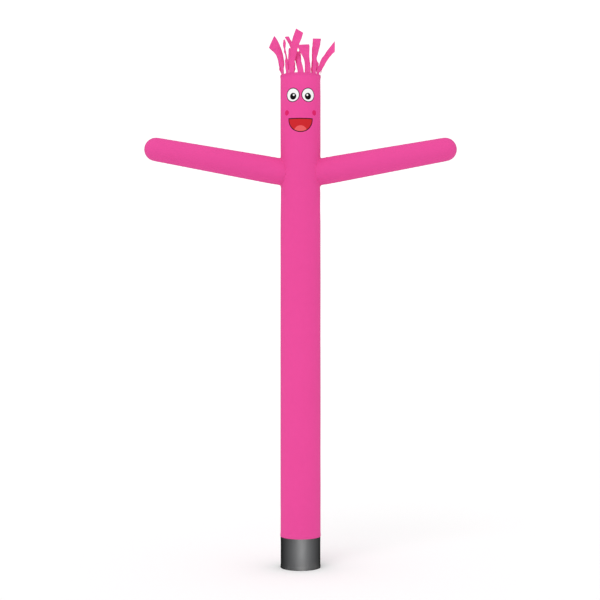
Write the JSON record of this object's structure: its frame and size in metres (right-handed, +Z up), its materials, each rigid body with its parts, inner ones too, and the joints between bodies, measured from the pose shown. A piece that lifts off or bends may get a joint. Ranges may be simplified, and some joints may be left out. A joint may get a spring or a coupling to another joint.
{
  "type": "inflatable air dancer",
  "caption": "Tall cloth tube figure full of air, with two raised arms, streamers for hair and a black collar that slips over a blower's outlet.",
  "frame": {"origin": "middle of the ring that the collar stands on", "axes": "+Z up the tube, +X towards the arm that is on the right seen from the front, and the front of the figure faces -Y"},
  "size_m": [3.5492, 0.5973, 6.0664],
  "materials": {
    "pink_nylon": "thin rip-stop nylon with a faint sheen",
    "black_coated_cloth": "heavier coated cloth with a soft shine"
  },
  "bodies": {
    "root": {"body_tube": "pink_nylon", "arm_left": "pink_nylon", "arm_right": "pink_nylon", "streamer_band": "pink_nylon", "base_collar": "black_coated_cloth"}
  },
  "joints": []
}
